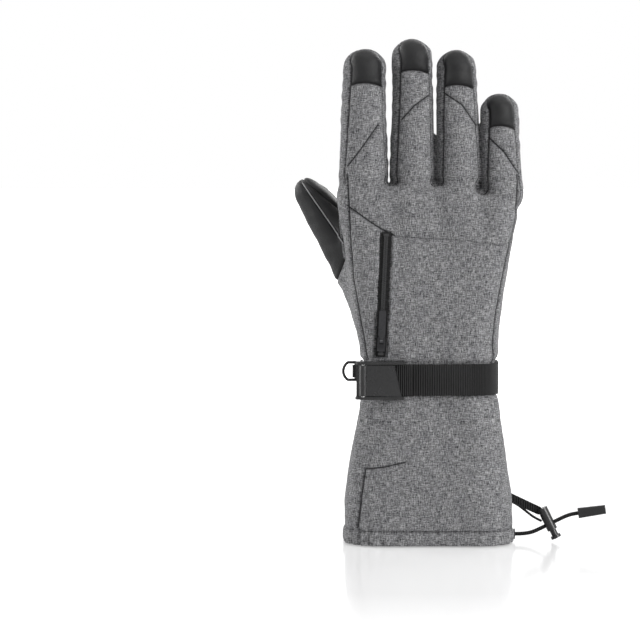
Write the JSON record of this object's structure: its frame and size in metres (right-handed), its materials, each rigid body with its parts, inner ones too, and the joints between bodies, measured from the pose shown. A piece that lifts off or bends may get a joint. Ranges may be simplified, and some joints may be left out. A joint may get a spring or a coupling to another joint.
{
  "type": "ski glove",
  "caption": "Right-hand insulated ski glove with a long gauntlet cuff, leather palm and fingertips, zipped back pocket, wrist strap with a lever buckle, and a hem drawcord with a cord lock.",
  "frame": {"origin": "middle of the cuff's mouth, in the plane of the hem that the glove stands on", "axes": "+Z from the cuff to the fingertips, -Y out of the back of the hand, +Y out of the palm, -X towards the thumb, +X towards the little finger"},
  "size_m": [0.1982, 0.0745, 0.3218],
  "materials": {
    "grey_fabric": "heather grey woven shell fabric",
    "black_leather": "fine-grained black synthetic leather",
    "grip_leather": "black leather with an embossed grip pattern",
    "insulation": "soft white wadding",
    "lining": "brushed black fleece",
    "elastic": "braided black elastic",
    "webbing": "ribbed black webbing",
    "zip_plastic": "black nylon coil",
    "gunmetal": "dark metal with a soft shine",
    "black_plastic": "moulded black plastic with a soft shine",
    "steel": "bright steel"
  },
  "bodies": {
    "hand": {"knuckle_panel": "grey_fabric", "pocket_panel": "grey_fabric", "thumb_side_panel": "grey_fabric", "palm_leather": "black_leather", "palm_wrist_panel": "grey_fabric", "side_gussets": "grey_fabric", "hand_insulation": "insulation", "hand_lining": "lining", "grip_patches": "grip_leather", "gauntlet_back": "grey_fabric", "gauntlet_palm": "grey_fabric", "gauntlet_lining": "lining", "hem_channel": "grey_fabric", "wrist_elastic": "elastic", "zip_tape": "webbing", "zip_coil": "zip_plastic", "strap_tail": "webbing", "buckle_frame": "black_plastic", "buckle_pin": "steel", "wrist_strap": "webbing", "ring_tab": "webbing", "cord_lock_body": "black_plastic", "cord_lock_spring": "steel", "cord_eyelet": "gunmetal", "hem_drawcord": "elastic", "drawcord": "elastic", "keeper_cord": "elastic", "lock_tether": "webbing", "cord_end": "black_plastic"},
    "index_finger": {"index_back": "grey_fabric", "index_cap": "black_leather", "index_gusset": "grey_fabric", "index_palm": "black_leather", "index_liner": "insulation", "touch_patch": "grip_leather"},
    "middle_finger": {"middle_back": "grey_fabric", "middle_cap": "black_leather", "middle_gusset": "grey_fabric", "middle_palm": "black_leather", "middle_liner": "insulation"},
    "ring_finger": {"ring_back": "grey_fabric", "ring_cap": "black_leather", "ring_gusset": "grey_fabric", "ring_palm": "black_leather", "ring_liner": "insulation"},
    "little_finger": {"little_back": "grey_fabric", "little_cap": "black_leather", "little_gusset": "grey_fabric", "little_palm": "black_leather", "little_liner": "insulation"},
    "thumb": {"thumb_fabric": "grey_fabric", "thumb_leather": "black_leather", "thumb_liner": "insulation"},
    "slider": {"zip_slider": "gunmetal"},
    "pull": {"zip_pull": "gunmetal"},
    "lever": {"buckle_lever": "black_plastic"},
    "ring": {"d_ring": "gunmetal"},
    "lock_button": {"cord_lock_button": "black_plastic"}
  },
  "joints": [
    {"name": "index_curl", "type": "hinge", "parent": "hand", "child": "index_finger", "pos_m": [-0.0415, 0, 0.235], "axis": [-0.9999, 0, 0.0164], "range_deg": [0, 60]},
    {"name": "middle_curl", "type": "hinge", "parent": "hand", "child": "middle_finger", "pos_m": [-0.0099, 0, 0.235], "axis": [-1, 0, -0.0054], "range_deg": [0, 60]},
    {"name": "ring_curl", "type": "hinge", "parent": "hand", "child": "ring_finger", "pos_m": [0.0195, 0, 0.235], "axis": [-0.9995, 0, -0.0327], "range_deg": [0, 60]},
    {"name": "little_curl", "type": "hinge", "parent": "hand", "child": "little_finger", "pos_m": [0.0465, 0, 0.224], "axis": [-0.9995, 0, -0.0315], "range_deg": [0, 60]},
    {"name": "thumb_swing", "type": "hinge", "parent": "hand", "child": "thumb", "pos_m": [-0.03, 0.014, 0.148], "axis": [-0.8653, 0, -0.5013], "range_deg": [0, 35]},
    {"name": "zip_slide", "type": "slide", "parent": "hand", "child": "slider", "axis": [0.0462, 0.0462, 0.9979], "range_m": [0, 0.0636]},
    {"name": "zip_pull_flip", "type": "hinge", "parent": "slider", "child": "pull", "pos_m": [-0.03024, -0.02864, 0.13014], "axis": [0.9989, -0.0021, -0.0461], "range_deg": [0, 115]},
    {"name": "buckle_lever_open", "type": "hinge", "parent": "hand", "child": "lever", "pos_m": [-0.04176, -0.03136, 0.1058], "axis": [0, 0, -1], "range_deg": [0, 100]},
    {"name": "ring_swing", "type": "hinge", "parent": "hand", "child": "ring", "pos_m": [-0.0462, -0.002, 0.1095], "axis": [0, 0, 1], "range_deg": [-60, 60]},
    {"name": "cord_lock_press", "type": "slide", "parent": "hand", "child": "lock_button", "axis": [-0.4384, 0, 0.8988], "range_m": [0, 0.003], "stiffness_N_per_m": 400, "springref_m": -0.002}
  ]
}
